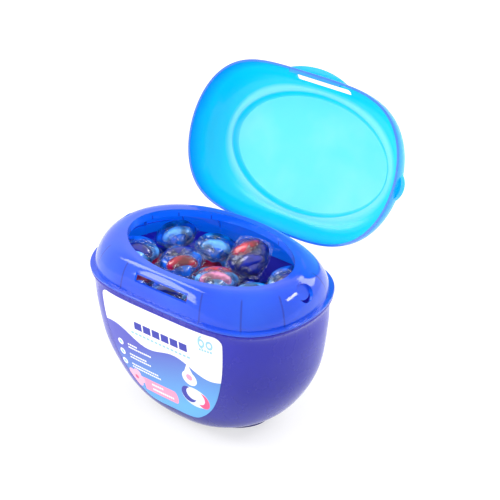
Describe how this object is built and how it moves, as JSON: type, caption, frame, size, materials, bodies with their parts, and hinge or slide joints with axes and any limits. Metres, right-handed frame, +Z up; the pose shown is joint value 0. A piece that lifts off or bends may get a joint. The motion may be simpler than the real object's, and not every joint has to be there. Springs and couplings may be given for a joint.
{
  "type": "laundry pod tub",
  "caption": "Oval translucent tub with a domed collar round its mouth, a hinged dished lid standing open, labels front and back, filled with film-wrapped laundry pods.",
  "frame": {"origin": "middle of the foot's flat underside, on the surface that the tub stands on", "axes": "+Z up, -Y towards the labelled front, +X along the long side to the right of someone facing the front"},
  "size_m": [0.204, 0.2115, 0.2376],
  "materials": {
    "tub_plastic": "translucent deep violet-blue moulded plastic, satin gloss",
    "collar_plastic": "translucent blue moulded plastic, glossy",
    "lid_plastic": "translucent light blue moulded plastic, glossy",
    "label_film": "printed film label, white ground with plain fields of colour",
    "pod_film": "clear wrinkled film over blue, white and crimson gel"
  },
  "bodies": {
    "tub": {"tub": "tub_plastic", "collar": "collar_plastic", "front_label": "label_film", "back_label": "label_film", "pod_layer_1": "pod_film", "pod_layer_2": "pod_film", "pod_layer_3": "pod_film", "pod_layer_4": "pod_film", "pod_layer_5": "pod_film", "top_pod_01": "pod_film", "top_pod_02": "pod_film", "top_pod_03": "pod_film", "top_pod_04": "pod_film", "top_pod_05": "pod_film", "top_pod_06": "pod_film", "top_pod_07": "pod_film", "top_pod_08": "pod_film", "top_pod_09": "pod_film", "top_pod_10": "pod_film", "top_pod_11": "pod_film"},
    "lid": {"lid": "lid_plastic"}
  },
  "joints": [
    {"name": "lid_hinge", "type": "hinge", "parent": "tub", "child": "lid", "pos_m": [0, 0.0686, 0.1187], "axis": [1, 0, 0], "range_deg": [0, 116.5]}
  ]
}
